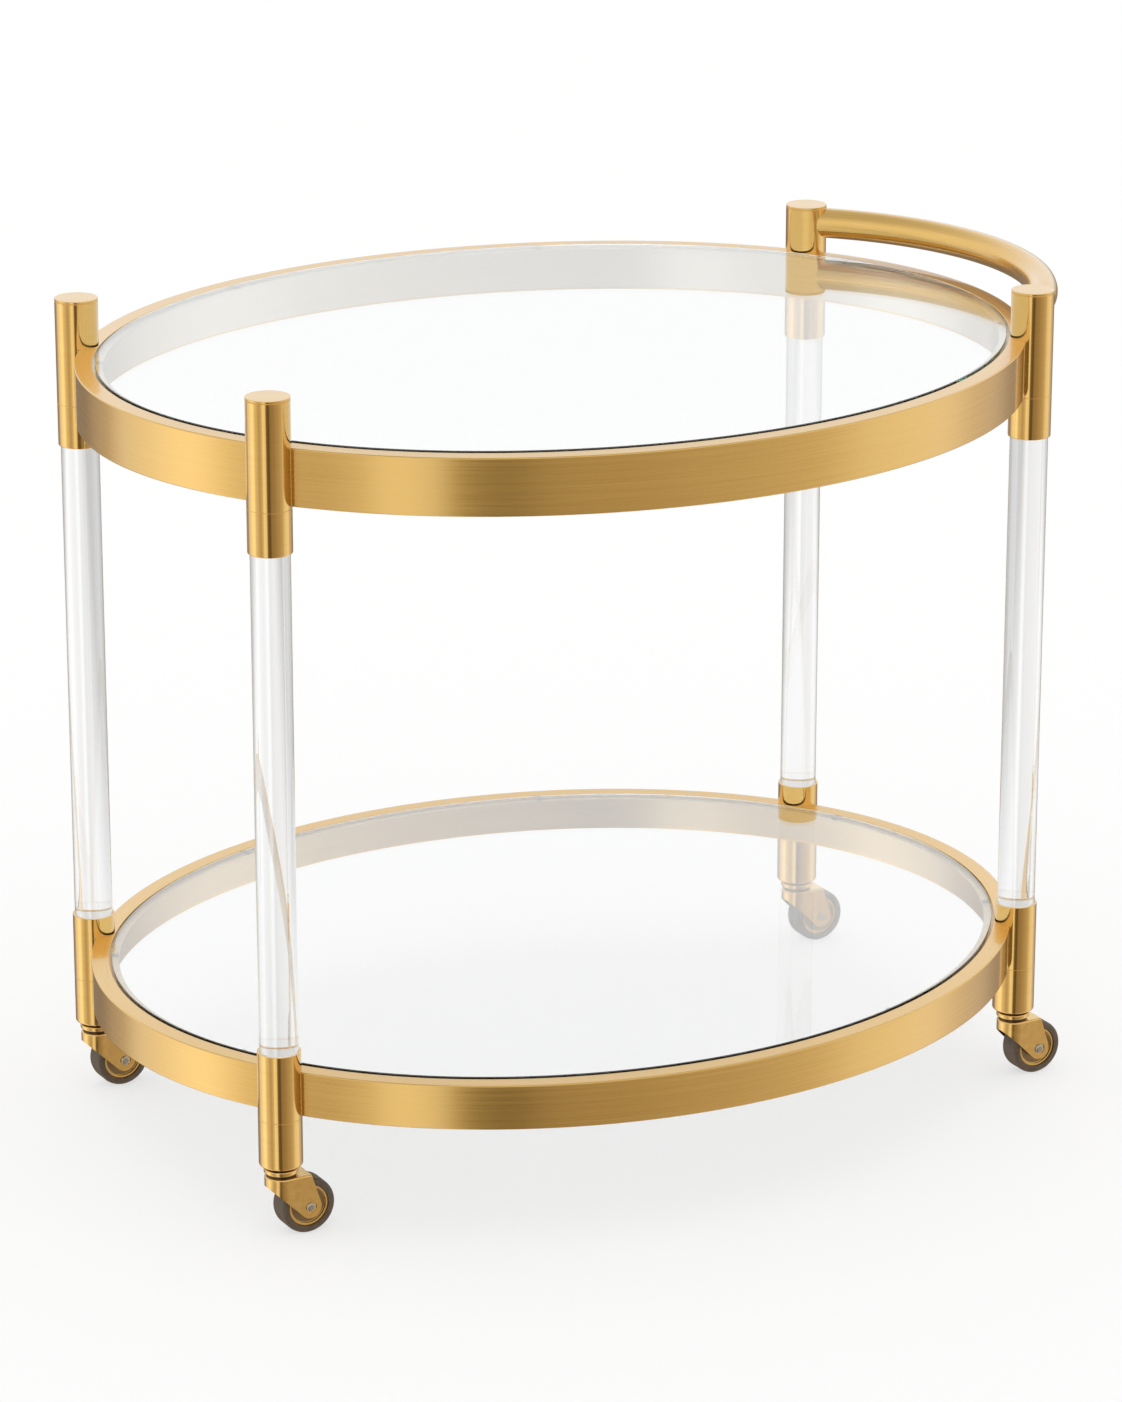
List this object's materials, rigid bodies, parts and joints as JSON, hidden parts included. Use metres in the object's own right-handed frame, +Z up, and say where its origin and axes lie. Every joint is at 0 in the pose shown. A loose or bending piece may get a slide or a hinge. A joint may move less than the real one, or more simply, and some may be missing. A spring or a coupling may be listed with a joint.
{
  "type": "bar cart on wheels",
  "caption": "Oval bar cart with glass shelves in brushed brass hoops, clear acrylic legs in brass sleeves, a bowed push bar and swivel casters.",
  "frame": {"origin": "centre of the bounding box on the floor, under the wheels", "axes": "+X towards the push bar, along the length; +Y towards the back; +Z up"},
  "size_m": [0.9074, 0.7319, 0.743],
  "materials": {
    "hoop_brass": "brushed along the band, clear lacquered",
    "ledge_brass": "satin",
    "turned_brass": "finely turned and polished",
    "cap_brass": "faced on the lathe, with fine rings",
    "handle_brass": "satin, brushed along the bar",
    "caster_brass": "pressed and plated",
    "hub_brass": "satin",
    "clear_acrylic": "clear, polished",
    "shelf_glass": "clear, with a polished green edge",
    "clear_silicone": "clear, soft",
    "screw_steel": "zinc plated",
    "rivet_steel": "bright, slightly warm",
    "seat_aluminium": "bright machined",
    "tyre_rubber": "grey-brown, smooth, moulded"
  },
  "bodies": {
    "frame": {"top_hoop": "hoop_brass", "bottom_hoop": "hoop_brass", "top_glass_ledge": "ledge_brass", "bottom_glass_ledge": "ledge_brass", "top_glass": "shelf_glass", "bottom_glass": "shelf_glass", "top_glass_bumpers": "clear_silicone", "bottom_glass_bumpers": "clear_silicone", "handle_bar": "handle_brass", "handle_plugs": "screw_steel", "handle_bolts": "screw_steel", "upper_rod_screws": "screw_steel", "lower_rod_screws": "screw_steel", "rod_seats": "seat_aluminium", "caster_stems": "caster_brass", "caster_race_cups": "caster_brass", "front_left_post_cap": "cap_brass", "front_left_upper_sleeve": "turned_brass", "front_left_rod_socket": "turned_brass", "front_left_acrylic_rod": "clear_acrylic", "front_left_lower_sleeve": "turned_brass", "front_left_foot_collar": "turned_brass", "front_right_post_cap": "cap_brass", "front_right_upper_sleeve": "turned_brass", "front_right_rod_socket": "turned_brass", "front_right_acrylic_rod": "clear_acrylic", "front_right_lower_sleeve": "turned_brass", "front_right_foot_collar": "turned_brass", "back_left_post_cap": "cap_brass", "back_left_upper_sleeve": "turned_brass", "back_left_rod_socket": "turned_brass", "back_left_acrylic_rod": "clear_acrylic", "back_left_lower_sleeve": "turned_brass", "back_left_foot_collar": "turned_brass", "back_right_post_cap": "cap_brass", "back_right_upper_sleeve": "turned_brass", "back_right_rod_socket": "turned_brass", "back_right_acrylic_rod": "clear_acrylic", "back_right_lower_sleeve": "turned_brass", "back_right_foot_collar": "turned_brass"},
    "front_left_caster": {"front_left_caster_fork": "caster_brass", "front_left_ball_race": "caster_brass", "front_left_axle": "rivet_steel"},
    "front_left_wheel": {"front_left_wheel_hub": "hub_brass", "front_left_wheel_tyre": "tyre_rubber"},
    "front_right_caster": {"front_right_caster_fork": "caster_brass", "front_right_ball_race": "caster_brass", "front_right_axle": "rivet_steel"},
    "front_right_wheel": {"front_right_wheel_hub": "hub_brass", "front_right_wheel_tyre": "tyre_rubber"},
    "back_left_caster": {"back_left_caster_fork": "caster_brass", "back_left_ball_race": "caster_brass", "back_left_axle": "rivet_steel"},
    "back_left_wheel": {"back_left_wheel_hub": "hub_brass", "back_left_wheel_tyre": "tyre_rubber"},
    "back_right_caster": {"back_right_caster_fork": "caster_brass", "back_right_ball_race": "caster_brass", "back_right_axle": "rivet_steel"},
    "back_right_wheel": {"back_right_wheel_hub": "hub_brass", "back_right_wheel_tyre": "tyre_rubber"}
  },
  "joints": [
    {"name": "front_left_swivel", "type": "hinge", "parent": "frame", "child": "front_left_caster", "pos_m": [-0.39512, -0.19082, 0.06], "axis": [0, 0, 1], "continuous": true},
    {"name": "front_left_wheel_spin", "type": "hinge", "parent": "front_left_caster", "child": "front_left_wheel", "pos_m": [-0.37412, -0.19082, 0.025], "axis": [0, 1, 0], "continuous": true},
    {"name": "front_right_swivel", "type": "hinge", "parent": "frame", "child": "front_right_caster", "pos_m": [0.35371, -0.19082, 0.06], "axis": [0, 0, 1], "continuous": true},
    {"name": "front_right_wheel_spin", "type": "hinge", "parent": "front_right_caster", "child": "front_right_wheel", "pos_m": [0.37471, -0.19082, 0.025], "axis": [0, 1, 0], "continuous": true},
    {"name": "back_left_swivel", "type": "hinge", "parent": "frame", "child": "back_left_caster", "pos_m": [-0.39512, 0.19082, 0.06], "axis": [0, 0, 1], "continuous": true},
    {"name": "back_left_wheel_spin", "type": "hinge", "parent": "back_left_caster", "child": "back_left_wheel", "pos_m": [-0.37412, 0.19082, 0.025], "axis": [0, 1, 0], "continuous": true},
    {"name": "back_right_swivel", "type": "hinge", "parent": "frame", "child": "back_right_caster", "pos_m": [0.35371, 0.19082, 0.06], "axis": [0, 0, 1], "continuous": true},
    {"name": "back_right_wheel_spin", "type": "hinge", "parent": "back_right_caster", "child": "back_right_wheel", "pos_m": [0.37471, 0.19082, 0.025], "axis": [0, 1, 0], "continuous": true}
  ]
}
